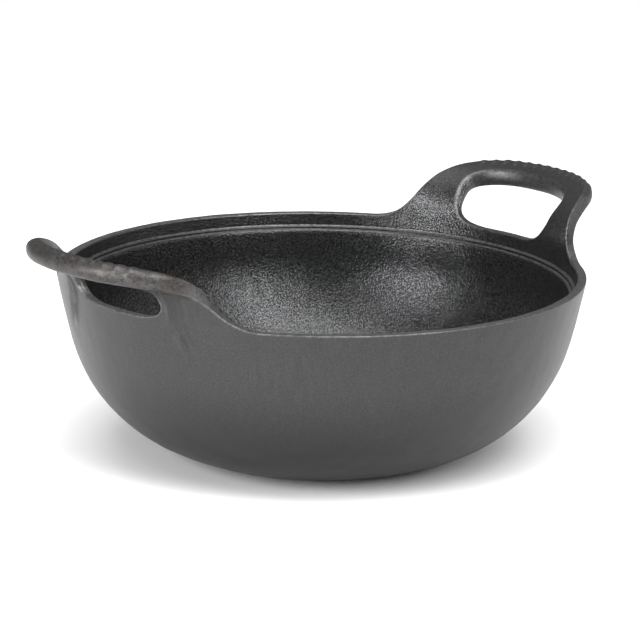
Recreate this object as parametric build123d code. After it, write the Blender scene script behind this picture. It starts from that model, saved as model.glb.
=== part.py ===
from build123d import *
import os
import math
import numpy as np

# Two-handled cast-iron kadai. Millimetres, +Z up.
# Origin: middle of the flat resting face under the base (z = 0).
# +X runs through the two handles, +Y across them.
# The real thing is one casting. It is divided here at its natural boundaries, and
# neighbouring regions meet face to face.

# ---------------------------------------------------------------- driving sizes
RIM_R = 130.0            # outer radius of the rim
RIM_Z = 89.5             # height of the rim's top face
RIM_T = 4.8              # wall thickness at the rim
FOOT_R = 62.0            # radius of the flat resting face
FLOOR_T = 5.2            # thickness of the floor
WALL_T = 4.8             # wall thickness of the bowl
LEDGE_Z = 82.5           # height of the upper step of the lid seat
LEDGE_STEP = 1.0         # drop from the upper step to the lower one
LEDGE_R1 = 123.2         # inner radius of the upper step
LEDGE_R2 = 121.4         # inner radius of the lower step
SEAM_Z = 78.6            # height where the bowl wall hands over to the rim band

# outside of the bowl, (radius, height), from the foot up to the rim
OUTER = [(62.0, 0.0), (66.9, 1.25), (71.8, 3.0), (80.6, 6.55), (90.3, 11.85),
         (101.4, 20.65), (111.2, 32.15), (119.5, 47.15), (125.4, 67.45), (130.0, 89.5)]

# handle: a flared sheet that grows out of the rim, in a section through the bowl's axis
FLARE_LEAN = 0.136       # how much the sheet leans out where it leaves the rim
FLARE_RISE = 20.8        # pull of the curve straight up from the rim
FLARE_RUN = 7.5          # pull of the curve along the grip
GRIP_R = 163.4           # radius of the grip's outer edge
GRIP_H = 27.4            # height of the grip's outer edge above the rim
GRIP_TILT = 0.170        # slope of the grip's top, radians
GRIP_BACK = 4.1          # how much the grip's ends curve back, at 30 mm from its middle
GRIP_DROP = 0.95         # how much they drop there
SHEET_T = 4.8            # thickness at the rim
GRIP_T = 9.3             # thickness at the grip
THICK_W = 0.95           # sheet parameter where that is reached

# free edge of the sheet, (arc along the rim, sheet parameter), from the grip's flat middle
# down to where the ear runs out into the rim
EAR = [(0, 1.0), (18, 1.0), (26, 0.957), (33, 0.906), (40, 0.798), (47, 0.556), (54, 0.322),
       (61, 0.134), (68, 0.047), (75, 0.007), (80, 0.0)]
EAR_END = EAR[-1][0]
SLOT_HALF = 31.5         # half length of the finger opening, along the rim
SLOT_MID = 0.315         # sheet parameter where the opening is longest
SLOT_TOP = 0.592         # sheet parameter of its upper edge
SLOT_CORNER = 3.0        # roundness of its upper corners
SLOT_LOW_ROUND = 3.5     # how far the lower corners turn in, mm
GRIP_HALF = 23.0         # half length of the grip node, along the rim

RIB_COUNT = 9            # low rounded ribs across the top of each grip
RIB_PITCH = 5.2
RIB_RADIUS = 1.4
RIB_PROUD = 0.45
RIB_LENGTH = 6.0

os.makedirs("parts", exist_ok=True)


# ---------------------------------------------------------------- bowl sections
def smooth_curve(points, x, flat_ends=False):
    """Monotone cubic through (x, y) points."""
    xs = np.array([p[0] for p in points], float)
    ys = np.array([p[1] for p in points], float)
    h = np.diff(xs)
    d = np.diff(ys) / h
    m = np.zeros(len(xs))
    if not flat_ends:
        m[0], m[-1] = d[0], d[-1]
    for i in range(1, len(xs) - 1):
        if d[i - 1] * d[i] > 0:
            w1, w2 = 2 * h[i] + h[i - 1], h[i] + 2 * h[i - 1]
            m[i] = (w1 + w2) / (w1 / d[i - 1] + w2 / d[i])
    i = int(np.clip(np.searchsorted(xs, x) - 1, 0, len(xs) - 2))
    t = (x - xs[i]) / h[i]
    return float((1 + 2 * t) * (1 - t) ** 2 * ys[i] + t * (1 - t) ** 2 * h[i] * m[i]
                 + t * t * (3 - 2 * t) * ys[i + 1] + t * t * (t - 1) * h[i] * m[i + 1])


def r_out(z):
    """Outer radius at height z."""
    return smooth_curve([(h, r) for r, h in OUTER], z)


def xz(r, z):
    return Vector(r, 0, z)


def line(a, b):
    return Edge.make_line(xz(*a), xz(*b))


def turned(edges):
    return revolve(Face(Wire(edges)), Axis.Z)


# inner surface of the bowl: the outer curve set in by the wall thickness, then a flat floor
inner = []
for z in (11.85, 20.65, 32.15, 47.15, 62.0):
    e = 0.4
    dr = r_out(z + e) - r_out(z - e)
    n = math.hypot(dr, 2 * e)
    inner.append((r_out(z) - WALL_T * 2 * e / n, z + WALL_T * dr / n))
inner = [(FOOT_R - 4.0, FLOOR_T), (FOOT_R + 6.0, FLOOR_T + 0.9)] + inner + [(LEDGE_R2 - 0.2, SEAM_Z)]

seam_r = r_out(SEAM_Z)

# flat floor with its resting face
base_disc = turned([
    line((0, 0), (FOOT_R - 4.0, 0)),
    line((FOOT_R - 4.0, 0), (FOOT_R - 4.0, FLOOR_T)),
    line((FOOT_R - 4.0, FLOOR_T), (0, FLOOR_T)),
    line((0, FLOOR_T), (0, 0)),
])

# curved wall of the bowl, from the floor to just under the lid seat
low = [p for p in OUTER if p[1] < SEAM_Z]
out_edge = Edge.make_spline([xz(*p) for p in low] + [xz(seam_r, SEAM_Z)],
                            tangents=[Vector(1, 0, 0.18), Vector(r_out(SEAM_Z + 1) - r_out(SEAM_Z - 1), 0, 2)])
in_edge = Edge.make_spline([xz(*p) for p in inner], tangents=[Vector(1, 0, 0), Vector(0.13, 0, 1)])
bowl_wall = turned([
    line((FOOT_R - 4.0, 0), (FOOT_R, 0)),
    out_edge,
    line((seam_r, SEAM_Z), inner[-1]),
    in_edge,
    line((FOOT_R - 4.0, FLOOR_T), (FOOT_R - 4.0, 0)),
])

# upright band of the rim, with the two-step lid seat on its inside
RIM_ROUND = 0.8
rim_in = RIM_R - RIM_T
ledge2 = LEDGE_Z - LEDGE_STEP
rim_band = turned([
    line(inner[-1], (seam_r, SEAM_Z)),
    Edge.make_spline([xz(seam_r, SEAM_Z), xz(r_out(84.0), 84.0), xz(RIM_R, RIM_Z - RIM_ROUND)]),
    Edge.make_three_point_arc(xz(RIM_R, RIM_Z - RIM_ROUND), xz(RIM_R - 0.2343, RIM_Z - 0.2343), xz(RIM_R - RIM_ROUND, RIM_Z)),
    line((RIM_R - RIM_ROUND, RIM_Z), (rim_in + RIM_ROUND, RIM_Z)),
    Edge.make_three_point_arc(xz(rim_in + RIM_ROUND, RIM_Z), xz(rim_in + 0.2343, RIM_Z - 0.2343), xz(rim_in, RIM_Z - RIM_ROUND)),
    line((rim_in, RIM_Z - RIM_ROUND), (rim_in - 0.4, LEDGE_Z + 1.5)),
    line((rim_in - 0.4, LEDGE_Z + 1.5), (rim_in - 0.65, LEDGE_Z + 0.8)),
    line((rim_in - 0.65, LEDGE_Z + 0.8), (rim_in - 1.2, LEDGE_Z + 0.3)),
    line((rim_in - 1.2, LEDGE_Z + 0.3), (LEDGE_R1, LEDGE_Z)),
    line((LEDGE_R1, LEDGE_Z), (LEDGE_R1 - 0.1, LEDGE_Z - 0.3)),
    line((LEDGE_R1 - 0.1, LEDGE_Z - 0.3), (LEDGE_R1 - 0.1, LEDGE_Z - 0.75)),
    line((LEDGE_R1 - 0.1, LEDGE_Z - 0.75), (LEDGE_R1 - 0.4, ledge2)),
    line((LEDGE_R1 - 0.4, ledge2), (LEDGE_R2 + 0.4, ledge2 - 0.3)),
    line((LEDGE_R2 + 0.4, ledge2 - 0.3), (LEDGE_R2, ledge2 - 1.0)),
    line((LEDGE_R2, ledge2 - 1.0), inner[-1]),
])


# ---------------------------------------------------------------- handle sheet
def ease(x):
    x = min(max(x, 0.0), 1.0)
    return x * x * (3 - 2 * x)


def sheet(arc, w):
    """Mid point, outward normal and thickness of the flared sheet.

    arc is the distance along the rim from the handle's middle, w the parameter up the
    flare: 0 at the rim's top face, 1 at the grip's outer edge.
    """
    r0 = RIM_R - RIM_T / 2
    p = [(r0, 0.0), (r0 + FLARE_LEAN * FLARE_RISE, FLARE_RISE),
         (GRIP_R - FLARE_RUN * math.cos(GRIP_TILT), GRIP_H - FLARE_RUN * math.sin(GRIP_TILT)),
         (GRIP_R, GRIP_H)]
    u = max(w, 0.0)
    b = [(1 - u) ** 3, 3 * (1 - u) ** 2 * u, 3 * (1 - u) * u * u, u ** 3]
    r = sum(k * q[0] for k, q in zip(b, p))
    z = sum(k * q[1] for k, q in zip(b, p))
    c = [3 * (1 - u) ** 2, 6 * (1 - u) * u, 3 * u * u]
    dr = sum(k * (p[i + 1][0] - p[i][0]) for i, k in enumerate(c))
    dz = sum(k * (p[i + 1][1] - p[i][1]) for i, k in enumerate(c))
    n = math.hypot(dr, dz)
    dr, dz = dr / n, dz / n
    f = ease(u) * (arc / 30.0) ** 2
    r -= GRIP_BACK * f
    z -= GRIP_DROP * f
    if w < 0:
        z, dr, dz = w * GRIP_H, 0.0, 1.0
    t = SHEET_T + (GRIP_T - SHEET_T) * ease(u / THICK_W)
    a = arc / RIM_R
    ca, sa = math.cos(a), math.sin(a)
    return (np.array([r * ca, r * sa, RIM_Z + z]), np.array([dz * ca, dz * sa, -dr]),
            np.array([dr * ca, dr * sa, dz]), np.array([-sa, ca, 0.0]), t)


def ear_top(arc):
    return smooth_curve(EAR, min(abs(arc), EAR_END), flat_ends=True)


def slot_top(arc):
    k = max(1 - (abs(arc) / SLOT_HALF) ** SLOT_CORNER, 0.0)
    return SLOT_MID + (SLOT_TOP - SLOT_MID) * k ** (1 / SLOT_CORNER)


def section(a, b, flat_z=None):
    """Closed curve round the sheet between the points a and b, each (arc, w)."""
    def at(f):
        return sheet(a[0] + (b[0] - a[0]) * f, a[1] + (b[1] - a[1]) * f)

    qa, qb = at(0.0), at(1.0)
    share = np.linspace(0, 1, 41)
    steps = [np.linalg.norm(at(g)[0] - at(f)[0]) for f, g in zip(share[:-1], share[1:])]
    dist = np.concatenate([[0], np.cumsum(steps)])
    span = dist[-1]
    deep_a = min(0.45 * qa[4] / 2, 0.3 * span)
    deep_b = min(0.83 * qb[4] / 2, 0.3 * span)
    f0, f1 = np.interp([deep_a, span - deep_b], dist, share)

    def cap(f, g):
        """inner points of the rounded end beyond at(f), as far as at(g), outer side first"""
        q, e = at(f), at(g)
        d = e[0] - q[0]
        depth = np.linalg.norm(d)
        d /= depth
        return [q[0] + d * depth * math.sin(k) + q[1] * q[4] / 2 * math.cos(k)
                for k in (math.pi / 4, math.pi / 2, 3 * math.pi / 4)]

    mid = [at(f) for f in np.linspace(f0, f1, 4)]
    pts = [q[0] + q[1] * q[4] / 2 for q in mid] + cap(f1, 1.0) + \
          [q[0] - q[1] * q[4] / 2 for q in reversed(mid)] + cap(f0, 0.0)[::-1]
    pts = [Vector(*[float(v) for v in (p if flat_z is None else (p[0], p[1], flat_z))]) for p in pts]
    return Wire([Edge.make_spline(pts, periodic=True)])


# grip: sections in planes through the bowl's axis
grip_arcs = [-GRIP_HALF, -15.0, -7.5, 0.0, 7.5, 15.0, GRIP_HALF]
grip = Solid.make_loft([section((s, slot_top(s)), (s, ear_top(s))) for s in grip_arcs])

# ribs across the grip's top
ribs = []
for i in range(RIB_COUNT):
    s = (i - (RIB_COUNT - 1) / 2) * RIB_PITCH
    if abs(s) > GRIP_HALF - RIB_RADIUS:
        continue
    p, nn, up, along, t = sheet(s, 0.84)
    c = p - nn * (t / 2 + RIB_PROUD - RIB_RADIUS)
    a0, a1 = c - up * RIB_LENGTH / 2, c + up * RIB_LENGTH / 2
    axis = Plane(origin=Vector(*map(float, a0)), z_dir=Vector(*map(float, up)))
    ribs.append(Solid.make_cylinder(RIB_RADIUS, RIB_LENGTH, axis))
grip_solid = grip.fuse(*ribs)

# ear: from the grip's end round the opening's corner and down to the rim
def ear_path():
    """Matching points along the opening's edge and the ear's outer edge, each (arc, w)."""
    m = 60
    slot = []
    for i in range(m + 1):
        s = GRIP_HALF + (SLOT_HALF - GRIP_HALF) * math.sin(0.5 * math.pi * i / m)
        slot.append((s, slot_top(s)))
    for i in range(1, m + 1):
        w = SLOT_MID * (1 - i / m)
        slot.append((SLOT_HALF - SLOT_LOW_ROUND * (1 - w / SLOT_MID) ** 4, w))
    edge = []
    for i in range(2 * m + 1):
        s = GRIP_HALF + (EAR_END - GRIP_HALF) * i / (2 * m)
        edge.append((s, ear_top(s)))

    def even(path, k):
        q = np.array([(a, w * 40.0) for a, w in path])
        d = np.concatenate([[0], np.cumsum(np.linalg.norm(np.diff(q, axis=0), axis=1))])
        x = np.linspace(0, d[-1], k)
        return list(zip(np.interp(x, d, q[:, 0]), np.interp(x, d, q[:, 1]) / 40.0))

    return list(zip(even(slot, 9), even(edge, 9)))


ear_pairs = ear_path()
ear_sections = [section(a, b) for a, b in ear_pairs[:-1]]
ear_sections.append(section((ear_pairs[-1][0][0], 0.0), (ear_pairs[-1][1][0], 0.0), flat_z=RIM_Z))
ear = Solid.make_loft(ear_sections)

# ---------------------------------------------------------------- write the pieces
def place(solid, turn, flip):
    s = solid.mirror(Plane.XZ) if flip else solid
    return s.rotate(Axis.Z, turn)


pieces = {
    "base_disc": base_disc,
    "bowl_wall": bowl_wall,
    "rim_band": rim_band,
    "right_handle_grip": place(grip_solid, 0, False),
    "right_handle_rear_ear": place(ear, 0, False),
    "right_handle_front_ear": place(ear, 0, True),
    "left_handle_grip": place(grip_solid, 180, False),
    "left_handle_front_ear": place(ear, 180, False),
    "left_handle_rear_ear": place(ear, 180, True),
}
for name, piece in pieces.items():
    export_step(piece, f"parts/{name}.step")
    bb = piece.bounding_box()
    print(name, "volume", round(piece.volume, 1), "valid", piece.is_valid,
          "box", [round(v, 2) for v in (*bb.min, *bb.max)])
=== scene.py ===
import math

import bpy
import numpy as np
from mathutils import Matrix, Vector


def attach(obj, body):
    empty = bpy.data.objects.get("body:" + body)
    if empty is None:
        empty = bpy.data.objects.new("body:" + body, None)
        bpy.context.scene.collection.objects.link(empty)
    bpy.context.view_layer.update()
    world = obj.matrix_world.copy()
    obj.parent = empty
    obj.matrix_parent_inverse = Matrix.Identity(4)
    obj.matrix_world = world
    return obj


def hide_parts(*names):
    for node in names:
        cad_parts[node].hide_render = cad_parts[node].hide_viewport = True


# Two-handled cast-iron kadai. Lengths in the shape code are millimetres in the row frame.
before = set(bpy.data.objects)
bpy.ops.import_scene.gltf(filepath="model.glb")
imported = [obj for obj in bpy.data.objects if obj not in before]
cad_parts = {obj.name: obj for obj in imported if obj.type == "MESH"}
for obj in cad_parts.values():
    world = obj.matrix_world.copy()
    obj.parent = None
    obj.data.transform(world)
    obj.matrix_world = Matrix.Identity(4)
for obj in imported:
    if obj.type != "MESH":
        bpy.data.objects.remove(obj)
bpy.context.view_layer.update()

MM = 0.001
N = 480                      # columns round the bowl
STEP = 2 * math.pi / N
rng = np.random.default_rng(11)

# ---------------------------------------------------------------- sizes
RIM_R, RIM_Z = 130.0, 89.5
DISC_R, FLOOR_T, WALL_T = 58.0, 5.2, 4.8
SEAM_Z = 78.6                # bowl wall below, rim band above
PATCH_Z = 84.2               # the handle sheets are gridded from here up
RIM_CAP = 0.75               # depth of the rim's rounded corners
CORNER = 0.7                 # and how far they reach across its thickness
WORLD_LOW, WORLD_HIGH = 0.28, 3.0     # brightness of the surroundings near the horizon and overhead
OUTER = [(58.0, 0.0), (66.9, 1.25), (71.8, 3.0), (80.6, 6.55), (90.3, 11.85), (101.4, 20.65),
         (111.2, 32.15), (119.5, 47.15), (125.4, 67.45), (130.0, 89.5)]
SEAT = [(121.15, 79.5), (121.3, 80.2), (121.5, 80.75), (121.75, 81.08), (122.1, 81.28), (122.7, 81.42),
        (122.98, 81.55), (123.1, 81.8), (123.14, 82.25), (123.28, 82.48), (123.7, 82.62), (124.15, 82.82),
        (124.5, 83.2), (124.66, 84.2)]
RIM_IN = 125.45              # inner radius at the very top of the rim

FLARE_LEAN, FLARE_RISE, FLARE_RUN = 0.136, 20.8, 7.5
GRIP_R, GRIP_H, GRIP_TILT = 163.3, 27.4, 0.170
GRIP_BACK, GRIP_DROP = 4.1, 0.95
SHEET_T, GRIP_T, THICK_W = 4.8, 9.3, 0.95
# free edge of the sheet: distance along the rim, sheet parameter
EAR = [(0, 1.0), (18, 1.0), (26, 0.957), (33, 0.906), (40, 0.798), (47, 0.556), (54, 0.322), (61, 0.134),
       (68, 0.047), (75, 0.007), (80, 0.0), (90, 0.0)]
SLOT_HALF, SLOT_MID, SLOT_TOP, SLOT_UPPER, SLOT_LOWER = 31.5, 0.315, 0.592, 3.0, 4.8

COLS = 48                    # columns each side that a handle patch takes
INNER_COLS = 30              # columns each side of the ring of cells round the finger opening
ROWS = 10                    # rows up the sheet beside that ring
LAYERS = 16                  # layers of cells from the opening's edge to the sheet's edge
TOP = 240                    # cells along the upper edge of the ring
CAP = 18                     # cells across an edge
LOW_ROW = 2                  # rows that stay with the rim band


def ease(a, b, x):
    t = np.clip((x - a) / (b - a), 0.0, 1.0)
    return t * t * (3 - 2 * t)


# ---------------------------------------------------------------- curves
def spline(points, first, last, fine=60):
    """Dense points of the smooth curve through points, with the given end directions."""
    p = np.array(points, float)
    h = np.linalg.norm(np.diff(p, axis=0), axis=1)
    n = len(p)
    a, b = np.zeros((n, n)), np.zeros((n, 2))
    a[0, 0] = a[-1, -1] = 1.0
    b[0] = np.array(first) / np.linalg.norm(first)
    b[-1] = np.array(last) / np.linalg.norm(last)
    for i in range(1, n - 1):
        a[i, i - 1], a[i, i], a[i, i + 1] = 1 / h[i - 1], 2 / h[i - 1] + 2 / h[i], 1 / h[i]
        b[i] = 3 * ((p[i] - p[i - 1]) / h[i - 1] ** 2 + (p[i + 1] - p[i]) / h[i] ** 2)
    m = np.linalg.solve(a, b)
    out = []
    for i in range(n - 1):
        t = np.linspace(0, 1, fine, endpoint=False)[:, None]
        out.append((1 + 2 * t) * (1 - t) ** 2 * p[i] + t * (1 - t) ** 2 * h[i] * m[i]
                   + t * t * (3 - 2 * t) * p[i + 1] + t * t * (t - 1) * h[i] * m[i + 1])
    return np.concatenate(out + [p[-1:]])


def along(path):
    return np.concatenate([[0], np.cumsum(np.linalg.norm(np.diff(path, axis=0), axis=1))])


def resample(path, count):
    d = along(path)
    x = np.linspace(0, d[-1], count + 1)
    return np.stack([np.interp(x, d, path[:, k]) for k in range(path.shape[1])], 1)


out_curve = spline(OUTER, (1, 0), (0.19, 1))


def r_out(z):
    return np.interp(z, out_curve[:, 1], out_curve[:, 0])


def normal_in(z):
    e = 0.3
    dr = (r_out(z + e) - r_out(z - e)) / (2 * e)
    n = math.hypot(dr, 1)
    return -1 / n, dr / n


inner_pts = [(DISC_R, FLOOR_T), (68.0, 6.35)]
for z_ in (11.85, 20.65, 32.15, 47.15, 62.0):
    nr, nz = normal_in(z_)
    inner_pts.append((float(r_out(z_)) + WALL_T * nr, z_ + WALL_T * nz))
inner_pts.append(SEAT[0])
in_curve = spline(inner_pts, (1, 0), (0.13, 1))
seat_curve = spline(SEAT, (0.1, 1), (0.12, 1), 24)
top_curve = np.array([SEAT[-1], (RIM_IN, RIM_Z)])
in_all = np.concatenate([in_curve[:-1], seat_curve[:-1], top_curve])


def r_in(z):
    return np.interp(z, in_all[:, 1], in_all[:, 0])


# ---------------------------------------------------------------- node and face store
verts, looks_out = [], []
attr = {"inner": [], "edge": [], "grip": []}
total = 0


def add(p, d, inner=0.0, edge=0.0, grip=0.0):
    """Stores points (n, 3) with their rough outward directions d, and returns their indices."""
    global total
    p = np.asarray(p, float).reshape(-1, 3)
    n = len(p)
    verts.append(p)
    looks_out.append(np.broadcast_to(np.asarray(d, float), (n, 3)))
    for key, value in (("inner", inner), ("edge", edge), ("grip", grip)):
        attr[key].append(np.broadcast_to(np.asarray(value, float), (n,)))
    total += n
    return np.arange(total - n, total)


pieces = {}                  # name -> {"skin": [quads], "wall": [(quads, direction)], "cap": [(polygon, direction)]}


def piece(name):
    return pieces.setdefault(name, {"skin": [], "wall": [], "cap": []})


def grid_quads(idx, wrap=False):
    """Quads of a grid of indices (rows, columns)."""
    a = np.concatenate([idx, idx[:, :1]], 1) if wrap else idx
    return np.stack([a[:-1, :-1], a[1:, :-1], a[1:, 1:], a[:-1, 1:]], -1).reshape(-1, 4)


theta = np.arange(N) * STEP
ring = np.stack([np.cos(theta), np.sin(theta)], 1)
col_dir = np.stack([ring[:, 0], ring[:, 1], np.zeros(N)], 1)


def ring_points(r, z):
    return np.stack([r * ring[:, 0], r * ring[:, 1], np.full(N, z)], 1)


def rings(path, sign, inner):
    d = sign * (col_dir - np.array([0, 0, 0.6]))
    return np.array([add(ring_points(r, z), d, inner=inner) for r, z in path])


def cut(path, lo, hi, count):
    """count + 1 points along path between the heights lo and hi."""
    p0 = np.array([np.interp(lo, path[:, 1], path[:, 0]), lo])
    p1 = np.array([np.interp(hi, path[:, 1], path[:, 0]), hi])
    inside = path[(path[:, 1] > lo + 1e-6) & (path[:, 1] < hi - 1e-6)]
    return resample(np.concatenate([[p0], inside, [p1]]), count)


wall_top = cut(out_curve, 0.0, SEAM_Z, 86)
wall_top[0] = (DISC_R, 0.0)
inner_low = np.concatenate([in_curve[:-1], seat_curve])
inner_low = inner_low[inner_low[:, 1] <= SEAM_Z]
inner_low = resample(np.concatenate([inner_low, [(float(r_in(SEAM_Z)), SEAM_Z)]]), 86)
z_patch = np.linspace(PATCH_Z, RIM_Z - RIM_CAP, ROWS + 1)
band_out = np.concatenate([cut(out_curve, SEAM_Z, PATCH_Z, 6)[:-1], np.stack([r_out(z_patch), z_patch], 1)])
band_in = np.concatenate([cut(in_all, SEAM_Z, PATCH_Z, 34)[:-1], np.stack([r_in(z_patch), z_patch], 1)])

o_wall = rings(wall_top, 1, 0.0)
i_wall = rings(inner_low, -1, 1.0)
o_band = np.concatenate([o_wall[-1:], rings(band_out[1:], 1, 0.0)])
i_band = np.concatenate([i_wall[-1:], rings(band_in[1:], -1, 1.0)])
OP, IP = 6, 34               # ring numbers at PATCH_Z

piece("bowl_wall")["skin"] += [grid_quads(o_wall, True), grid_quads(i_wall, True)]


# floors: a square grid of cells laid on a disc, whose border falls on the columns
def disc(radius, z, border, sign, inner):
    m = N // 8
    a = np.arange(-m, m + 1) * STEP
    s = math.sqrt(2) * np.sin(a)
    u, v = np.meshgrid(s, s, indexing="ij")
    x, y = radius * u * np.sqrt(1 - v * v / 2), radius * v * np.sqrt(1 - u * u / 2)
    idx = np.full(x.shape, -1)
    edge = np.zeros(x.shape, bool)
    edge[0], edge[-1], edge[:, 0], edge[:, -1] = True, True, True, True
    k = np.round(np.arctan2(y, x) / STEP).astype(int) % N
    idx[edge] = border[k[edge]]
    inside = ~edge
    idx[inside] = add(np.stack([x[inside], y[inside], np.full(inside.sum(), z)], 1), (0, 0, sign), inner=inner)
    return grid_quads(idx)


piece("base_disc")["skin"] += [disc(DISC_R, 0.0, o_wall[0], -1, 0.0), disc(DISC_R, FLOOR_T, i_wall[0], 1, 1.0)]


def ring_wall(a, b):
    return np.stack([a, b, np.roll(b, -1), np.roll(a, -1)], 1)


foot_ring = ring_wall(o_wall[0], i_wall[0])
piece("base_disc")["wall"].append((foot_ring, col_dir))
piece("bowl_wall")["wall"].append((foot_ring, -col_dir))
seam_ring = ring_wall(o_wall[-1], i_wall[-1])
piece("bowl_wall")["wall"].append((seam_ring, np.tile([0, 0, 1.0], (N, 1))))
piece("rim_band")["wall"].append((seam_ring, np.tile([0, 0, -1.0], (N, 1))))

# ---------------------------------------------------------------- the flared sheet
R_MID = RIM_R - 2.5
w_table = np.linspace(0, 1.02, 2001)


def bezier(w):
    p = np.array([(R_MID, 0.0), (R_MID + FLARE_LEAN * FLARE_RISE, FLARE_RISE),
                  (GRIP_R - FLARE_RUN * math.cos(GRIP_TILT), GRIP_H - FLARE_RUN * math.sin(GRIP_TILT)),
                  (GRIP_R, GRIP_H)])
    w = np.asarray(w, float)
    b = np.stack([(1 - w) ** 3, 3 * (1 - w) ** 2 * w, 3 * (1 - w) * w * w, w ** 3], -1)
    c = np.stack([3 * (1 - w) ** 2, 6 * (1 - w) * w, 3 * w * w], -1)
    d = c @ np.diff(p, axis=0)
    return b @ p, d / np.linalg.norm(d, axis=-1, keepdims=True)


s_table = along(bezier(w_table)[0])
SHEET_LEN = float(np.interp(1.0, w_table, s_table))


def s_of(w):
    return np.interp(w, w_table, s_table)


def w_of(s):
    return np.interp(s, s_table, w_table)


def flare(L, y):
    """Middle of the sheet and the half-thickness vector towards its outer side. y is the distance up
    the sheet from the rim's top, negative below it."""
    L, y = np.asarray(L, float), np.asarray(y, float)
    w = w_of(np.maximum(y, 0))
    p, d = bezier(w)
    f = ease(0, 1, w) * (L / 30.0) ** 2
    half0 = (r_out(RIM_Z) - r_in(RIM_Z)) / 2
    mid0 = (r_out(RIM_Z) + r_in(RIM_Z)) / 2
    r = p[..., 0] - GRIP_BACK * f + (mid0 - R_MID) * (1 - ease(0, 10, y))
    z = RIM_Z + p[..., 1] - GRIP_DROP * f
    t = thickness(w) / 2
    t = half0 + (t - half0) * ease(0, 8, y)
    nr, nz = d[..., 1], -d[..., 0] * ease(0, 7, y)
    n = np.hypot(nr, nz)
    hr, hz = t * nr / n, t * nz / n
    low = y < 0
    zl = RIM_Z + y
    r = np.where(low, (r_out(zl) + r_in(zl)) / 2, r)
    z = np.where(low, zl, z)
    hr = np.where(low, (r_out(zl) - r_in(zl)) / 2, hr)
    hz = np.where(low, 0.0, hz)
    a = L / RIM_R
    ca, sa = np.cos(a), np.sin(a)
    return (np.stack([r * ca, r * sa, z], -1), np.stack([hr * ca, hr * sa, hz], -1), w)


def thickness(w):
    return SHEET_T + (GRIP_T - SHEET_T) * ease(0, 1, w / THICK_W)


def monotone(points, x):
    """Monotone cubic through (x, y) points, level at both ends."""
    q = np.array(points, float)
    h = np.diff(q[:, 0])
    d = np.diff(q[:, 1]) / h
    m = np.zeros(len(q))
    for i in range(1, len(q) - 1):
        if d[i - 1] * d[i] > 0:
            w1, w2 = 2 * h[i] + h[i - 1], h[i] + 2 * h[i - 1]
            m[i] = (w1 + w2) / (w1 / d[i - 1] + w2 / d[i])
    i = np.clip(np.searchsorted(q[:, 0], x) - 1, 0, len(q) - 2)
    t = (x - q[i, 0]) / h[i]
    return ((1 + 2 * t) * (1 - t) ** 2 * q[i, 1] + t * (1 - t) ** 2 * h[i] * m[i]
            + t * t * (3 - 2 * t) * q[i + 1, 1] + t * t * (t - 1) * h[i] * m[i + 1])


ear_x = np.arange(-90.0, 90.01, 0.1)
ear_bell = np.exp(-0.5 * (np.arange(-60, 61) / 14.0) ** 2)
ear_y = np.convolve(np.pad(monotone(EAR, np.abs(ear_x)), 60, mode="edge"), ear_bell / ear_bell.sum(), "valid")
ear_y *= np.abs(ear_x) < 81.0


def edge_w(L):
    return np.interp(L, ear_x, ear_y)


def inset(path, depth, side):
    """path moved sideways by depth, to its left for side 1."""
    g = np.gradient(path, axis=0)
    g /= np.linalg.norm(g, axis=1, keepdims=True)
    n = np.stack([-g[:, 1], g[:, 0]], 1) * side
    return path + n * depth[:, None]


# the sheet's free edge, from its right end to its left one
edge_L = np.linspace(COLS, -COLS, 6001) * STEP * RIM_R
edge_path = np.stack([edge_L, s_of(edge_w(edge_L))], 1)
edge_half = thickness(edge_w(edge_L)) / 2
full = ease(0.45, 0.9, edge_w(edge_L))
edge_c = RIM_CAP + (edge_half - RIM_CAP) * full
edge_d = CORNER + (edge_half - CORNER) * full
edge_in = inset(edge_path, edge_c, 1)
edge_in[0], edge_in[-1] = (edge_path[0, 0], -RIM_CAP), (edge_path[-1, 0], -RIM_CAP)

# the finger opening's edge, anticlockwise from its lower left corner
ang = np.linspace(-0.75 * math.pi, 1.25 * math.pi, 4001)
ca_, sa_ = np.cos(ang), np.sin(ang)
n_ = np.where(sa_ >= 0, SLOT_UPPER, SLOT_LOWER)
slot_L = SLOT_HALF * np.sign(ca_) * np.abs(ca_) ** (2 / n_)
slot_w = SLOT_MID + np.where(sa_ >= 0, SLOT_TOP - SLOT_MID, SLOT_MID) * np.sign(sa_) * np.abs(sa_) ** (2 / n_)
slot_path = np.stack([slot_L, s_of(np.maximum(slot_w, 0))], 1)
fine_slot = resample(slot_path, 4000)
slot_wf = w_of(fine_slot[:, 1])
up = ease(0.45, 0.57, slot_wf)
bevel = ease(0.02, 0.20, slot_wf)                # the wide soft bevel on the bowl's side of the opening
slot_c = RIM_CAP + (3.3 - RIM_CAP) * bevel + 0.4 * up
slot_d = CORNER + 0.5 * up
slot_b = CORNER + (0.78 * thickness(slot_wf) - CORNER) * bevel
slot_in = inset(fine_slot, slot_c, -1)
slot_in[0] = slot_in[-1] = (slot_in[0] + slot_in[-1]) / 2


def split_at(path, marks, counts):
    """Fractional row numbers of path, evenly spaced between the marks."""
    d = along(path)
    rows = np.arange(len(path))
    out = []
    for a, b, n in zip(marks[:-1], marks[1:], counts):
        x = np.linspace(d[a], d[b], n + 1)
        out.append(np.interp(x, d, rows)[:-1])
    return np.concatenate(out + [[marks[-1]]])


def at_rows(path, rows):
    i = np.arange(len(path))
    if path.ndim == 1:
        return np.interp(rows, i, path)
    return np.stack([np.interp(rows, i, path[:, k]) for k in range(path.shape[1])], 1)


L_IN = INNER_COLS * STEP * RIM_R
L_OUT = COLS * STEP * RIM_R
BOT = 2 * INNER_COLS
K = BOT + 2 * ROWS + TOP     # cells round the ring

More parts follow.
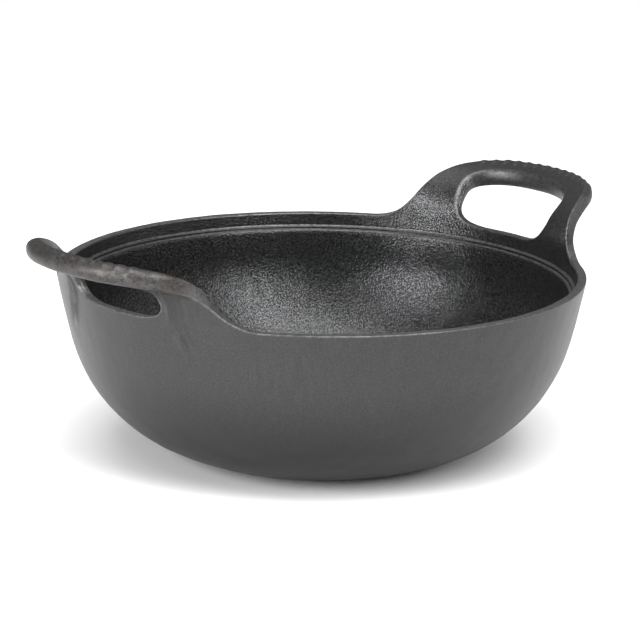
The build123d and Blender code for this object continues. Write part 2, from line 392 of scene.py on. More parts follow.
# columns of the free edge outside the ring, and the ring's own stretch
tail_cols = np.arange(COLS, INNER_COLS - 1, -1)
tail_rows = np.interp(-tail_cols * STEP * RIM_R, -edge_in[:, 0], np.arange(len(edge_in)))
r_a = tail_rows[-1]
r_b = len(edge_in) - 1 - r_a
dense = np.concatenate([[r_a], np.arange(math.ceil(r_a + 1e-6), math.floor(r_b - 1e-6) + 1), [r_b]])
ring_edge_rows = np.interp(np.linspace(0, 1, TOP + 1), along(at_rows(edge_in, dense)) / along(at_rows(edge_in, dense))[-1], dense)

# marks on the opening's edge: lower right corner, then a little up each side
d_slot = along(slot_in)
i_lr = int(np.argmin(np.abs(ang + 0.25 * math.pi)))
p_lr = slot_path[i_lr]
i_lr = int(np.argmin(np.linalg.norm(fine_slot - p_lr, axis=1)))
i_side = int(np.argmin(np.abs(d_slot - (d_slot[i_lr] + 9.0))))
slot_rows = split_at(slot_in, [0, i_lr, i_side, len(slot_in) - 1 - (i_side - i_lr), len(slot_in) - 1], [BOT, ROWS, TOP, ROWS])[:-1]

tail_in, tail_out = at_rows(edge_in, tail_rows), at_rows(edge_path, tail_rows)
side_y = np.linspace(PATCH_Z - RIM_Z, tail_in[-1, 1], ROWS + 1)
outer_loop = np.concatenate([
    np.stack([np.arange(-INNER_COLS, INNER_COLS) * STEP * RIM_R, np.full(BOT, PATCH_Z - RIM_Z)], 1),
    np.stack([np.full(ROWS, L_IN), side_y[:-1]], 1),
    at_rows(edge_in, ring_edge_rows)[:-1],
    np.stack([np.full(ROWS, -L_IN), side_y[::-1][:-1]], 1)])
inner_loop = at_rows(slot_in, slot_rows)

mesh2 = inner_loop[None] + (outer_loop - inner_loop)[None] * np.linspace(0, 1, LAYERS + 1)[:, None, None]
for _ in range(1500):
    k1, k0 = np.roll(mesh2, -1, 1), np.roll(mesh2, 1, 1)
    xk, xj = (k1 - k0)[1:-1] / 2, (mesh2[2:] - mesh2[:-2]) / 2
    a_, b_, g_ = (xj ** 2).sum(-1)[..., None], (xk * xj).sum(-1)[..., None], (xk ** 2).sum(-1)[..., None]
    xkj = (k1[2:] - k0[2:] - k1[:-2] + k0[:-2]) / 4
    mesh2[1:-1] = (a_ * (k1 + k0)[1:-1] + g_ * (mesh2[2:] + mesh2[:-2]) - 2 * b_ * xkj) / (2 * (a_ + g_))


def edge_profile(c, d, half):
    """(depth share, thickness share) of CAP - 1 points round an edge of depth c and corner d."""
    d = min(d, half)
    q = np.linspace(0, math.pi / 2, 60)
    depth = np.concatenate([np.sin(q), np.ones(40), np.sin(q)[::-1]])
    g = np.concatenate([half - d + d * np.cos(q), np.linspace(half - d, d - half, 42)[1:-1], d - half - d * np.cos(q)[::-1]])
    corner = np.concatenate([np.ones(60), np.zeros(40), np.ones(60)])
    p = np.stack([depth * c, g], 1)
    step = np.linalg.norm(np.diff(p, axis=0), axis=1) * (1 + 1.2 * (corner[1:] + corner[:-1]) / 2)
    s = np.concatenate([[0], np.cumsum(step)])
    x = np.linspace(0, s[-1], CAP + 1)[1:-1]
    return np.interp(x, s, depth), np.interp(x, s, g) / half, np.interp(x, s, corner)


def slot_profile(c, d, b, half, ridge):
    """The same for the finger opening: corner d on the outer side, a bevel c by b on the bowl's side."""
    q = np.linspace(0, math.pi / 2, 60)
    e = 2 / 1.55
    lead = np.linspace(0, c - d, 30)
    depth = np.concatenate([lead[:-1], c - d + d * np.sin(q), np.full(40, c), c * np.cos(q) ** e])
    g = np.concatenate([np.full(29, half), half - d + d * np.cos(q), np.linspace(half - d, b - half, 42)[1:-1],
                        -half + b * (1 - np.sin(q) ** e)])
    # corner weights, later the edge attribute: the outer corner and the bevel made lighter, partly rubbed wear and
    # partly painted highlight
    corner = np.concatenate([np.zeros(29), np.ones(60), np.full(40, 0.35), np.linspace(0.35, 0.6, 60)])
    dense = np.concatenate([np.zeros(29), np.ones(60), np.zeros(40), np.ones(60)])
    p = np.stack([depth, g], 1)
    step = np.linalg.norm(np.diff(p, axis=0), axis=1) * (1 + 1.0 * (dense[1:] + dense[:-1]) / 2)
    s = np.concatenate([[0], np.cumsum(step)])
    x = np.linspace(0, s[-1], CAP + 1)[1:-1]
    f, gg, cc = np.interp(x, s, depth) / c, np.interp(x, s, g) / half, np.interp(x, s, corner)
    return f + ridge / c * np.exp(-((gg - 0.1) * half / 0.6) ** 2), gg, cc


def edge_points(inner_pt, outer_pt, c, d, ridge=0.0, bevel=None):
    """Points round the sheet's edge between its outer and inner faces at inner_pt, out to outer_pt."""
    m, h, w = flare(inner_pt[0], inner_pt[1])
    m2, _, _ = flare(outer_pt[0], outer_pt[1])
    half = float(np.linalg.norm(h))
    f, g, cc = edge_profile(c, d, half) if bevel is None else slot_profile(c, d, bevel, half, ridge)
    p = m + (m2 - m) * f[:, None] + h * g[:, None]
    return p, p - m, cc, g, float(w)


def inner_weight(z, g=-1.0):
    """How much of the glossy inside finish a point has: all of it in the bowl, little on the sheets."""
    return (1 - 0.65 * ease(RIM_Z + 9.0, RIM_Z + 22.0, z)) * ease(0.2, -0.9, g)


# rim edge for every column; its edge weight of at least 0.75 makes the whole rim top lighter, partly rubbed wear and
# partly painted highlight
p_, d_, cc_, g_p, _w = edge_points(np.array([0.0, -RIM_CAP]), np.array([0.0, 0.0]), RIM_CAP, CORNER)
rim_cap = []
for j in range(CAP - 1):
    r, z = p_[j, 0], p_[j, 2]
    dr, dz = d_[j, 0], d_[j, 2]
    rim_cap.append(add(ring_points(r, z), np.stack([dr * ring[:, 0], dr * ring[:, 1], np.full(N, dz)], 1),
                       inner=inner_weight(z, g_p[j]), edge=max(0.85 * cc_[j], 0.75)))
rim_cap = np.array(rim_cap)


def turn(p, a):
    c, s = math.cos(a), math.sin(a)
    return np.stack([p[..., 0] * c - p[..., 1] * s, p[..., 0] * s + p[..., 1] * c, p[..., 2]], -1)


handles = {}
for side_name, turn_by, first_ear, last_ear, wear in (
        ("right_handle", 0.0, "rear_ear", "front_ear", 0.45),
        ("left_handle", math.pi, "front_ear", "rear_ear", 1.0)):
    base = 0 if turn_by == 0 else N // 2

    def col(k):
        return (base + k) % N

    def put(pts2, sign, wgt=None):
        m, h, w = flare(pts2[..., 0], pts2[..., 1])
        p = turn(m + sign * h, turn_by)
        d = turn(sign * h, turn_by)
        gw = ease(0.55, 0.9, w)
        inner = 0.0 if sign > 0 else inner_weight(p[..., 2]).ravel()
        return add(p.reshape(-1, 3), d.reshape(-1, 3), inner=inner, grip=(gw * wear).ravel()).reshape(pts2.shape[:-1])

    O = np.zeros((LAYERS + 1, K), int)
    I = np.zeros((LAYERS + 1, K), int)
    for arr, sign, band, level in ((O, 1, o_band, OP), (I, -1, i_band, IP)):
        arr[:-1] = put(mesh2[:-1], sign)
        arr[-1, :BOT] = [band[level, col(k)] for k in range(-INNER_COLS, INNER_COLS)]
        arr[-1, BOT:] = put(mesh2[-1, BOT:], sign)
        arr[-1, BOT] = band[level, col(INNER_COLS)]
    # the corner column below the left side is the bottom's first node
    # tails: rows x columns, from the ring's side out to the last column
    tails = {}
    for end, sgn in ((1, 1), (-1, -1)):
        cols = np.arange(INNER_COLS, COLS + 1)
        tin = tail_in[::-1] * [sgn, 1]
        pts2 = np.zeros((ROWS + 1, len(cols), 2))
        for j in range(len(cols)):
            pts2[:, j, 0] = sgn * cols[j] * STEP * RIM_R
            pts2[:, j, 1] = np.linspace(PATCH_Z - RIM_Z, tin[j, 1], ROWS + 1)
        made = {}
        for key, sign, band, level, ringidx in (("o", 1, o_band, OP, O), ("i", -1, i_band, IP, I)):
            idx = np.zeros((ROWS + 1, len(cols)), int)
            idx[1:, 1:-1] = put(pts2[1:, 1:-1], sign)
            idx[0] = [band[level, col(sgn * c)] for c in cols]
            idx[:, -1] = [band[level + q, col(sgn * COLS)] for q in range(ROWS + 1)]
            if end == 1:
                idx[:, 0] = ringidx[-1, BOT:BOT + ROWS + 1]
            else:
                left = [(BOT + ROWS + TOP + ROWS - q) % K for q in range(ROWS + 1)]
                idx[:, 0] = ringidx[-1, left]
            made[key] = idx
        tails[end] = made

    # edge nodes: round the opening
    slot_cap = np.zeros((K, CAP + 1), int)
    sp_in, sp_out = inner_loop, at_rows(fine_slot, slot_rows)
    sc, sd, sb = at_rows(slot_c, slot_rows), at_rows(slot_d, slot_rows), at_rows(slot_b, slot_rows)
    sw = w_of(sp_out[:, 1])
    for k in range(K):
        ridge = 0.35 * float(ease(0.03, 0.12, sw[k]) * (1 - ease(0.42, 0.54, sw[k])))
        p, d, cc, g, w = edge_points(sp_in[k], sp_out[k], sc[k], sd[k], ridge, sb[k])
        slot_cap[k, 1:-1] = add(turn(p, turn_by), turn(d, turn_by), inner=0.75 * ease(0.5, -0.2, g) * (1 - 0.6 * ease(0.4, 0.56, w)),
                                edge=cc, grip=float(ease(0.45, 0.75, w)) * wear)
    slot_cap[:, 0], slot_cap[:, -1] = O[0], I[0]

    # edge nodes: along the free edge, tail, ring, tail
    ec, ed = at_rows(edge_c, ring_edge_rows), at_rows(edge_d, ring_edge_rows)
    ep_in, ep_out = at_rows(edge_in, ring_edge_rows), at_rows(edge_path, ring_edge_rows)
    # edge weights on the sheet's free edge make its corners lighter: partly rubbed wear, partly painted highlight
    free = np.zeros((TOP + 1, CAP + 1), int)
    for k in range(TOP + 1):
        p, d, cc, g, w = edge_points(ep_in[k], ep_out[k], ec[k], ed[k])
        free[k, 1:-1] = add(turn(p, turn_by), turn(d, turn_by), inner=inner_weight(p[:, 2], g), edge=np.maximum(0.7 * cc, 0.25) * (1 - 0.6 * ease(0.5, 0.9, w)),
                            grip=float(ease(0.28, 0.6, w)) * wear)
    ring_top = [(BOT + ROWS + q) % K for q in range(TOP + 1)]
    free[:, 0], free[:, -1] = O[-1, ring_top], I[-1, ring_top]
    tail_free = {}
    for end, sgn in ((1, 1), (-1, -1)):
        tf = np.zeros((COLS - INNER_COLS + 1, CAP + 1), int)
        tin, tout = tail_in[::-1] * [sgn, 1], tail_out[::-1] * [sgn, 1]
        tc, td = at_rows(edge_c, tail_rows)[::-1], at_rows(edge_d, tail_rows)[::-1]
        # edge weights on the tails' free edge: partly rubbed wear, partly painted highlight
        for j in range(1, COLS - INNER_COLS):
            p, d, cc, g, w = edge_points(tin[j], tout[j], tc[j], td[j])
            tf[j, 1:-1] = add(turn(p, turn_by), turn(d, turn_by), inner=inner_weight(p[:, 2], g), edge=np.maximum(0.7 * cc, 0.7 - 0.5 * ease(0.0, 0.2, w)))
        tf[0] = free[0] if end == 1 else free[-1]
        tf[-1, 1:-1] = rim_cap[:, col(sgn * COLS)]
        tf[:, 0], tf[:, -1] = tails[end]["o"][-1], tails[end]["i"][-1]
        tail_free[end] = tf
    handles[side_name] = dict(O=O, I=I, tails=tails, slot=slot_cap, free=free, tail_free=tail_free,
                              col=[col(k) for k in range(-COLS, COLS + 1)], first=first_ear, last=last_ear)

    # which cell of the ring belongs to which piece
    top_L = inner_loop[BOT + ROWS:BOT + ROWS + TOP, 0]
    g0 = BOT + ROWS + int(np.argmax(top_L < 23.0))
    g1 = BOT + ROWS + TOP - (g0 - BOT - ROWS)
    lo_k, hi_k = BOT + LOW_ROW, K - LOW_ROW
    spans = {"rim_band": [k % K for k in range(hi_k, K + lo_k)],
             f"{side_name}_{first_ear}": list(range(lo_k, g0)),
             f"{side_name}_grip": list(range(g0, g1)),
             f"{side_name}_{last_ear}": list(range(g1, hi_k))}
    for name, ks in spans.items():
        ks = np.array(ks)
        kn = (ks + 1) % K
        for arr in (O, I):
            q = np.stack([arr[:-1, ks], arr[1:, ks], arr[1:, kn], arr[:-1, kn]], -1)
            piece(name)["skin"].append(q.reshape(-1, 4))
        q = np.stack([slot_cap[ks, :-1], slot_cap[ks, 1:], slot_cap[kn, 1:], slot_cap[kn, :-1]], -1)
        piece(name)["skin"].append(q.reshape(-1, 4))
        f = [k - BOT - ROWS for k in ks if BOT + ROWS <= k < BOT + ROWS + TOP]
        if f:
            f = np.array(f)
            q = np.stack([free[f, :-1], free[f, 1:], free[f + 1, 1:], free[f + 1, :-1]], -1)
            piece(name)["skin"].append(q.reshape(-1, 4))
    for end, ear in ((1, first_ear), (-1, last_ear)):
        name = f"{side_name}_{ear}"
        for key in ("o", "i"):
            t = tails[end][key]
            piece("rim_band")["skin"].append(grid_quads(t[:LOW_ROW + 1]))
            piece(name)["skin"].append(grid_quads(t[LOW_ROW:]))
        piece(name)["skin"].append(grid_quads(tail_free[end]))

    # walls where neighbouring pieces meet
    def radial_wall(k, toward, name_a, name_b):
        """Closes name_a and name_b at the ring's line k; toward is the direction from a to b."""
        a = np.stack([O[:-1, k], O[1:, k], I[1:, k], I[:-1, k]], 1)
        for nm, s in ((name_a, 1), (name_b, -1)):
            piece(nm)["wall"].append((a, np.tile(np.asarray(toward) * s, (len(a), 1))))
            piece(nm)["cap"].append((slot_cap[k], np.asarray(toward) * s))
            f = k - BOT - ROWS
            if 0 <= f <= TOP:
                piece(nm)["cap"].append((free[f], np.asarray(toward) * s))

    side_dir = turn(np.array([0.0, 1.0, 0.0]), turn_by)
    radial_wall(g0, -side_dir, f"{side_name}_{first_ear}", f"{side_name}_grip")
    radial_wall(g1, -side_dir, f"{side_name}_grip", f"{side_name}_{last_ear}")
    radial_wall(lo_k, np.array([0, 0, 1.0]), "rim_band", f"{side_name}_{first_ear}")
    radial_wall(hi_k, np.array([0, 0, 1.0]), "rim_band", f"{side_name}_{last_ear}")
    for end, ear in ((1, first_ear), (-1, last_ear)):
        name = f"{side_name}_{ear}"
        to, ti = tails[end]["o"], tails[end]["i"]
        a = np.stack([to[LOW_ROW, :-1], to[LOW_ROW, 1:], ti[LOW_ROW, 1:], ti[LOW_ROW, :-1]], 1)
        piece("rim_band")["wall"].append((a, np.tile([0, 0, 1.0], (len(a), 1))))
        piece(name)["wall"].append((a, np.tile([0, 0, -1.0], (len(a), 1))))
        a = np.stack([to[LOW_ROW:-1, -1], to[LOW_ROW + 1:, -1], ti[LOW_ROW + 1:, -1], ti[LOW_ROW:-1, -1]], 1)
        out_dir = side_dir * end
        piece(name)["wall"].append((a, np.tile(out_dir, (len(a), 1))))
        piece("rim_band")["wall"].append((a, np.tile(-out_dir, (len(a), 1))))
        piece(name)["cap"].append((tail_free[end][-1], out_dir))
        piece("rim_band")["cap"].append((tail_free[end][-1], -out_dir))

# rim band: full rings up to PATCH_Z, then the columns between the handles
piece("rim_band")["skin"] += [grid_quads(o_band[:OP + 1], True), grid_quads(i_band[:IP + 1], True)]
for start in (COLS, N // 2 + COLS):
    cols = np.arange(start, start + N // 2 - 2 * COLS + 1) % N
    piece("rim_band")["skin"] += [grid_quads(o_band[OP:][:, cols]), grid_quads(i_band[IP:][:, cols]),
                                  grid_quads(np.concatenate([o_band[-1:], rim_cap, i_band[-1:]])[:, cols])]

P = np.concatenate(verts)
D = np.concatenate(looks_out)
A = {k: np.concatenate(v) for k, v in attr.items()}


def oriented(quads, want=None):
    """quads turned so that their normals agree with want, or with their corners' outward directions."""
    a, b, c, d = (P[quads[:, i]] for i in range(4))
    n = np.cross(c - a, d - b)
    w = D[quads].sum(1) if want is None else want
    flip = (n * w).sum(1) < 0
    quads = quads.copy()
    quads[flip] = quads[flip][:, ::-1]
    return quads


skin_all = []
for name, pc in pieces.items():
    pc["skin"] = oriented(np.concatenate(pc["skin"]))
    pc["wall"] = [oriented(q, np.asarray(w, float)) for q, w in pc["wall"]]
    skin_all.append(pc["skin"])
skin_all = np.concatenate(skin_all)


def smooth_normals():
    a, b, c, d = (P[skin_all[:, i]] for i in range(4))
    n = np.cross(c - a, d - b)
    out = np.zeros_like(P)
    for i in range(4):
        np.add.at(out, skin_all[:, i], n)
    return out / np.maximum(np.linalg.norm(out, axis=1, keepdims=True), 1e-12)


# lips of the lid seat painted lighter as a highlight, and painted shade in the groove between them
z_now = P[:, 2]
on_seat = (A["inner"] > 0.5) & (np.hypot(P[:, 0], P[:, 1]) > 118) & (z_now < RIM_Z - 3)
lip_highlight = (ease(82.38, 82.58, z_now) * ease(83.90, 82.95, z_now) + ease(80.85, 81.15, z_now) * ease(81.60, 81.46, z_now)) * on_seat
A["edge"] = np.maximum(A["edge"], 0.95 * lip_highlight)
A["groove_shade"] = ease(81.46, 81.66, z_now) * ease(82.44, 82.30, z_now) * on_seat
A["inner"] = A["inner"] * (1 - 0.45 * lip_highlight)

# ---------------------------------------------------------------- cast surface: low waves, ribs, gussets
normals = smooth_normals()
shift = np.zeros(len(P))
wave = np.zeros(len(P))
for length, size, count in ((34.0, 0.10, 14), (17.0, 0.05, 18), (8.5, 0.022, 24)):
    for _ in range(count):
        v = rng.normal(size=3)
        v *= 2 * math.pi / (length * rng.uniform(0.75, 1.35)) / np.linalg.norm(v)
        wave += size * math.sqrt(2 / count) * np.sin(P @ v + rng.uniform(0, 2 * math.pi))
shift += 0.55 * wave * ease(1.5, 9.0, P[:, 2] + 20 * (A["inner"] > 0.5))

# ribs across the top of each grip
RIBS, RIB_PITCH, RIB_HALF, RIB_HIGH = 13, 5.2, 1.4, 0.42
arc = np.where(P[:, 0] > 0, np.arctan2(P[:, 1], P[:, 0]), np.arctan2(-P[:, 1], -P[:, 0])) * RIM_R
on_top = (normals[:, 2] > 0.2) & (P[:, 2] > RIM_Z + 14)
radial = np.hypot(P[:, 0], P[:, 1])
rib = np.zeros(len(P))
for i in range(RIBS):
    s = (i - (RIBS - 1) / 2) * RIB_PITCH
    x = np.clip(1 - np.abs(arc - s) / RIB_HALF, 0, 1)
    rib = np.maximum(rib, np.sin(0.5 * math.pi * x) ** 1.3)
edge_mid = GRIP_R - 5.6 - GRIP_BACK * (arc / 30.0) ** 2
rib *= ease(4.4, 2.6, np.abs(radial - edge_mid)) * on_top
shift += RIB_HIGH * rib

# soft gussets that run down from the opening's ends on the outside: a ridge with a hollow beyond it
outward = (A["inner"] < 0.3) & ((normals[:, :2] * P[:, :2]).sum(1) > 0)
line = 36.0 + 0.45 * np.maximum(90.0 - P[:, 2], 0.0)
reach = ease(68.0, 82.0, P[:, 2]) * ease(112.0, 100.0, P[:, 2]) * outward
shift += 1.15 * reach * (np.exp(-((np.abs(arc) - line) / 1.6) ** 2) - 1.0 * np.exp(-((np.abs(arc) - line - 4.6) / 2.4) ** 2))

P = P + normals * shift[:, None]
normals = smooth_normals()


# ---------------------------------------------------------------- meshes
def make_mesh(name, pc):
    quads = np.concatenate([pc["skin"]] + pc["wall"])
    used = np.unique(np.concatenate([quads.ravel()] + [c for c, _ in pc["cap"]]))
    back = np.full(len(P), -1)
    back[used] = np.arange(len(used))
    faces = [back[quads]]
    polys = []
    for c, d in pc["cap"]:
        c = np.asarray(c)
        centre = P[c].mean(0)
        n = sum(np.cross(P[c[i]] - centre, P[c[(i + 1) % len(c)]] - centre) for i in range(len(c)))
        polys.append(back[c if n @ np.asarray(d) > 0 else c[::-1]])
    mesh = bpy.data.meshes.new(name)
    loops = np.concatenate([faces[0].ravel()] + polys)
    starts = np.concatenate([np.arange(len(quads)) * 4, len(quads) * 4 + np.cumsum([0] + [len(p) for p in polys[:-1]])]) if polys else np.arange(len(quads)) * 4
    sizes = np.concatenate([np.full(len(quads), 4), [len(p) for p in polys]]) if polys else np.full(len(quads), 4)
    mesh.vertices.add(len(used))
    mesh.vertices.foreach_set("co", (P[used] * MM).astype(np.float32).ravel())
    mesh.loops.add(len(loops))
    mesh.loops.foreach_set("vertex_index", loops.astype(np.int32))
    mesh.polygons.add(len(sizes))
    mesh.polygons.foreach_set("loop_start", starts.astype(np.int32))
    mesh.polygons.foreach_set("use_smooth", np.ones(len(sizes), bool))
    mesh.update(calc_edges=True)
    bad = mesh.validate(verbose=False)
    if bad:
        print("mesh", name, "was repaired")
    for key, values in A.items():
        at = mesh.attributes.new(key, "FLOAT", "POINT")
        at.data.foreach_set("value", values[used].astype(np.float32))
    # smooth normals that run on over the joins, and flat ones on the hidden faces between pieces
    nl = len(mesh.loops)
    li = np.zeros(nl, np.int32)
    mesh.loops.foreach_get("vertex_index", li)
    ln = normals[used][li]
    fn = np.zeros(len(mesh.polygons) * 3, np.float32)
    mesh.polygons.foreach_get("normal", fn)
    fn = fn.reshape(-1, 3)
    face_of = np.repeat(np.arange(len(sizes)), sizes)
    hidden = face_of >= len(pc["skin"])
    ln[hidden] = fn[face_of[hidden]]
    mesh.normals_split_custom_set(ln.astype(np.float32))
    obj = bpy.data.objects.new(name, mesh)
    bpy.context.scene.collection.objects.link(obj)
    return obj


made = {name: make_mesh(f"{name}_cast", pc) for name, pc in pieces.items()}


# ---------------------------------------------------------------- materials
class Nodes:
    """Short hands for building a node tree."""

    def __init__(self, name):
        self.mat = bpy.data.materials.new(name)
        self.mat.use_nodes = True
        self.tree = self.mat.node_tree
        self.tree.nodes.clear()

    def node(self, kind, **values):
        n = self.tree.nodes.new(kind)
        for k, v in values.items():
            setattr(n, k, v)
        return n

    def link(self, a, b):
        self.tree.links.new(a, b)

    def feed(self, socket, value):
        if isinstance(value, bpy.types.NodeSocket):
            self.link(value, socket)
        else:
            socket.default_value = value

    def math(self, op, a, b=0.0, c=0.0, clamp=False):
        n = self.node("ShaderNodeMath", operation=op, use_clamp=clamp)
        for s, v in zip(n.inputs, (a, b, c)):
            self.feed(s, v)
        return n.outputs[0]

    def attribute(self, name):
        return self.node("ShaderNodeAttribute", attribute_name=name).outputs["Fac"]

    def noise(self, vector, scale, detail=2.0, rough=0.5):
        n = self.node("ShaderNodeTexNoise")
        self.link(vector, n.inputs["Vector"])
        n.inputs["Scale"].default_value = scale
        n.inputs["Detail"].default_value = detail
        n.inputs["Roughness"].default_value = rough
        return n.outputs["Fac"]

    def ramp(self, value, a, b, lo=0.0, hi=1.0):
        n = self.node("ShaderNodeMapRange")
        n.interpolation_type = "SMOOTHSTEP"
        self.feed(n.inputs["Value"], value)
        for key, v in (("From Min", a), ("From Max", b), ("To Min", lo), ("To Max", hi)):
            n.inputs[key].default_value = v
        return n.outputs["Result"]

    def mix(self, fac, a, b):
        n = self.node("ShaderNodeMix", data_type="RGBA")
        self.feed(n.inputs["Factor"], fac)
        for s, v in ((n.inputs[6], a), (n.inputs[7], b)):
            self.feed(s, v)
        return n.outputs[2]

    def blend(self, fac, a, b):
        n = self.node("ShaderNodeMix", data_type="FLOAT")
        self.feed(n.inputs["Factor"], fac)
        self.feed(n.inputs[2], a)
        self.feed(n.inputs[3], b)
        return n.outputs[0]


def grey(v, tint=(1.0, 1.0, 1.0)):
    return (v * tint[0], v * tint[1], v * tint[2], 1.0)


COOL = (0.985, 0.985, 1.02)


def iron(name):
    m = Nodes(name)
    where = m.node("ShaderNodeTexCoord").outputs["Object"]
    inner, edge = m.attribute("inner"), m.attribute("edge")
    grip, groove_shade = m.attribute("grip"), m.attribute("groove_shade")

    height_of = m.node("ShaderNodeSeparateXYZ")
    m.link(where, height_of.inputs[0])
    # painted shade: the outside colour darkens towards the base, over the lowest 66 mm
    low = m.ramp(height_of.outputs["Z"], 0.0, 0.066, 1.0, 0.0)

    squash = m.node("ShaderNodeMapping")
    m.link(where, squash.inputs["Vector"])
    squash.inputs["Scale"].default_value = (1.0, 1.0, 0.09)
    streak_at = squash.outputs["Vector"]

    fine = m.noise(where, 2100.0, 2.0, 0.6)          # sand grain, under a millimetre
    mid = m.noise(where, 520.0, 2.0, 0.5)            # lumps of about 2 mm
    grain = m.noise(where, 1290.0, 1.0, 0.5)         # pebbles of about a millimetre
    broad = m.noise(where, 38.0, 3.0, 0.5)           # stains of a few centimetres
    patches = m.noise(where, 130.0, 3.0, 0.6)        # handling marks
    streaks = m.noise(streak_at, 330.0, 3.0, 0.6)    # faint upright brushing
    pebble = m.node("ShaderNodeTexVoronoi", feature="SMOOTH_F1")
    m.link(where, pebble.inputs["Vector"])
    pebble.inputs["Scale"].default_value = 880.0
    pebble.inputs["Smoothness"].default_value = 0.6
    pebbles = pebble.outputs["Distance"]

    # colour
    outside = m.mix(m.ramp(streaks, 0.35, 0.7), grey(0.0325, COOL), grey(0.0385, COOL))
    outside = m.mix(m.ramp(broad, 0.35, 0.7), outside, grey(0.034, (1.01, 1.0, 1.0)))
    outside = m.mix(m.ramp(fine, 0.50, 0.72, 0.0, 0.5), outside, grey(0.078))
    outside = m.mix(m.ramp(grain, 0.44, 0.64, 0.0, 0.22), outside, grey(0.066))
    # painted shade towards the base
    outside = m.mix(low, outside, grey(0.003))
    # inside colour follows the grain's relief, darker in the pits and lighter on the peaks: partly the grain's own
    # tone, partly painted shade in the pits
    peaks = m.ramp(grain, 0.38, 0.62)
    inside = m.mix(peaks, grey(0.009, COOL), grey(0.053, COOL))
    inside = m.mix(m.ramp(fine, 0.50, 0.72, 0.0, 0.25), inside, grey(0.080))
    colour = m.mix(inner, outside, inside)
    # painted shade: the lid seat's groove darkened to near black
    colour = m.mix(groove_shade, colour, grey(0.008))
    # edges, rim top and seat lips made lighter: partly rubbed wear, partly painted highlight
    wear_and_highlight = m.math("MULTIPLY", edge, m.ramp(mid, 0.35, 0.6, 0.3, 1.0))
    colour = m.mix(m.math("MULTIPLY", wear_and_highlight, 0.62), colour, grey(0.16, (1.02, 1.0, 0.98)))
    scuff = m.math("MULTIPLY", grip, m.ramp(patches, 0.38, 0.62, 0.25, 0.8))
    colour = m.mix(scuff, colour, grey(0.029, (1.17, 1.0, 0.90)))
    chips = m.math("MULTIPLY", grip, m.ramp(grain, 0.50, 0.66, 0.0, 0.20))
    colour = m.mix(chips, colour, grey(0.120, (1.06, 1.0, 0.93)))
    pits = m.math("MULTIPLY", grip, m.ramp(mid, 0.46, 0.34, 0.0, 0.5))
    colour = m.mix(pits, colour, grey(0.012, (1.15, 1.0, 0.9)))

    # gloss
    rough_out = m.ramp(fine, 0.3, 0.7, 0.36, 0.44)
    rough_in = m.ramp(mid, 0.3, 0.7, 0.20, 0.26)
    rough = m.blend(inner, rough_out, rough_in)
    rough = m.blend(m.math("MULTIPLY", grip, 0.8), rough, 0.48)

    # relief
    out_height = m.math("ADD", m.math("MULTIPLY", fine, 0.45), m.math("MULTIPLY", mid, 0.45))
    out_height = m.math("ADD", out_height, m.math("MULTIPLY", streaks, 0.12))
    in_height = m.math("ADD", m.math("MULTIPLY", pebbles, -0.75), m.math("MULTIPLY", grain, 1.7))
    in_height = m.math("ADD", in_height, m.math("MULTIPLY", mid, 0.5))
    in_height = m.math("ADD", in_height, m.math("MULTIPLY", fine, 0.4))
    height = m.blend(inner, out_height, in_height)
    bump = m.node("ShaderNodeBump")
    bump.inputs["Strength"].default_value = 1.0
    bump.inputs["Distance"].default_value = 0.00012
    m.link(height, bump.inputs["Height"])

    shader = m.node("ShaderNodeBsdfPrincipled")
    m.link(colour, shader.inputs["Base Color"])
    m.link(rough, shader.inputs["Roughness"])
    m.link(bump.outputs["Normal"], shader.inputs["Normal"])
    shader.inputs["Metallic"].default_value = 0.7
    shader.inputs["IOR"].default_value = 1.45
    out = m.node("ShaderNodeOutputMaterial")
    m.link(shader.outputs[0], out.inputs["Surface"])
    return m.mat


bowl_iron = iron("bowl_iron")
handle_iron = iron("handle_iron")
for name, obj in made.items():
    handle = "handle" in name
    obj.data.materials.append(handle_iron if handle else bowl_iron)
    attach(obj, "root")
    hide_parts(name)

# ---------------------------------------------------------------- floor
mesh = bpy.data.meshes.new("floor")
mesh.from_pydata([(-9, -9, 0), (9, -9, 0), (9, 9, 0), (-9, 9, 0)], [], [(0, 1, 2, 3)])
floor = bpy.data.objects.new("floor", mesh)
bpy.context.scene.collection.objects.link(floor)
pale = Nodes("floor_pale")
fs = pale.node("ShaderNodeBsdfPrincipled")
fs.inputs["Base Color"].default_value = (0.90, 0.90, 0.90, 1)
fs.inputs["Roughness"].default_value = 0.9
fo = pale.node("ShaderNodeOutputMaterial")
pale.link(fs.outputs[0], fo.inputs["Surface"])
floor.data.materials.append(pale.mat)

# ---------------------------------------------------------------- light
# floor directions of the photograph's view: to the viewer's right, and away from the viewer
AZ = math.radians(-132.45)
view_right = Vector((-math.sin(AZ), math.cos(AZ), 0))
view_away = Vector((-math.cos(AZ), -math.sin(AZ), 0))

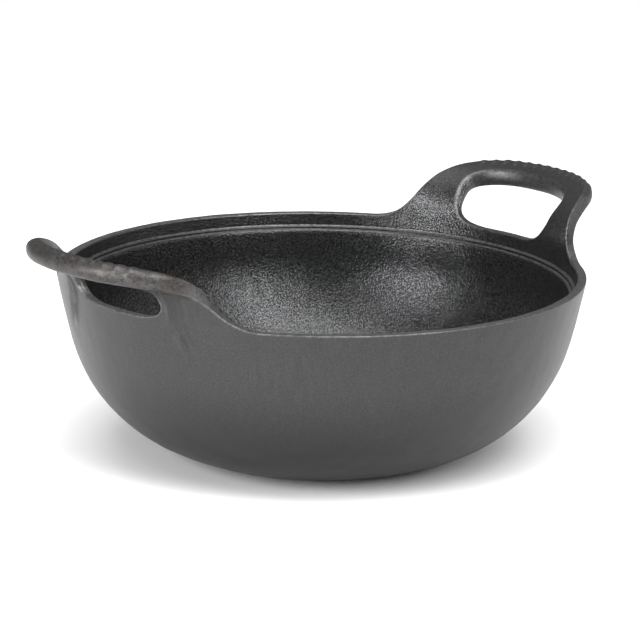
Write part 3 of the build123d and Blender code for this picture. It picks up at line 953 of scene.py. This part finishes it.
world = bpy.data.worlds.new("studio")
bpy.context.scene.world = world
world.use_nodes = True
wn, wl = world.node_tree.nodes, world.node_tree.links
wn.clear()
coord = wn.new("ShaderNodeTexCoord")
split = wn.new("ShaderNodeSeparateXYZ")
wl.new(coord.outputs["Generated"], split.inputs[0])
spread = wn.new("ShaderNodeMapRange")
spread.interpolation_type = "SMOOTHSTEP"
wl.new(split.outputs["Z"], spread.inputs["Value"])
for key, v in (("From Min", 0.78), ("From Max", 0.97), ("To Min", WORLD_LOW), ("To Max", WORLD_HIGH)):
    spread.inputs[key].default_value = v
bg = wn.new("ShaderNodeBackground")
bg.inputs["Color"].default_value = (1.0, 1.0, 1.0, 1)
wl.new(spread.outputs["Result"], bg.inputs["Strength"])
wo = wn.new("ShaderNodeOutputWorld")
wl.new(bg.outputs[0], wo.inputs["Surface"])


def soft_box(name, azimuth, elevation, distance, size, radiance):
    """A soft box seen from the pan at azimuth (0 away from the viewer, positive to the right) and elevation."""
    a, e = math.radians(azimuth), math.radians(elevation)
    way = (view_away * math.cos(a) + view_right * math.sin(a)) * math.cos(e) + Vector((0, 0, math.sin(e)))
    data = bpy.data.lights.new(name, "AREA")
    data.shape = "RECTANGLE"
    data.size, data.size_y = size
    data.energy = radiance * math.pi * size[0] * size[1]
    obj = bpy.data.objects.new(name, data)
    bpy.context.scene.collection.objects.link(obj)
    obj.location = Vector((0, 0, 0.06)) + way * distance
    obj.rotation_mode = "QUATERNION"
    obj.rotation_quaternion = (-way).to_track_quat("-Z", "Y")
    return obj


soft_box("left_box", -130, 14, 1.3, (0.60, 0.92), 13.5)
soft_box("right_box", 139, 38, 1.4, (0.55, 0.92), 9.0)
soft_box("front_box", 178, 62, 1.4, (1.30, 0.60), 5.4)
soft_box("side_fill", 85, 14, 1.5, (0.90, 0.60), 2.0)

# ---------------------------------------------------------------- camera
DIST, ELEV, ROLL = 1.5, math.radians(15.054), 0.01632
target = Vector((0, 0, 0.05125))
back = Vector((math.cos(ELEV) * math.cos(AZ), math.cos(ELEV) * math.sin(AZ), math.sin(ELEV)))
cam_data = bpy.data.cameras.new("camera")
cam = bpy.data.objects.new("camera", cam_data)
bpy.context.scene.collection.objects.link(cam)
cam_data.sensor_width = 36.0
cam_data.lens = 3030.8 * 36.0 / 640.0
cam_data.shift_x = -0.5214 / 640.0
cam_data.shift_y = 23.63 / 640.0
cam_data.clip_start, cam_data.clip_end = 0.1, 40.0
cam.location = target + back * DIST
look = (-back).to_track_quat("-Z", "Y").to_matrix()
roll = Matrix.Rotation(ROLL, 3, "Z")
cam.rotation_mode = "QUATERNION"
cam.rotation_quaternion = (look @ roll).to_quaternion()
bpy.context.scene.camera = cam

bpy.context.scene.view_settings.view_transform = "Standard"
bpy.context.scene.view_settings.look = "None"
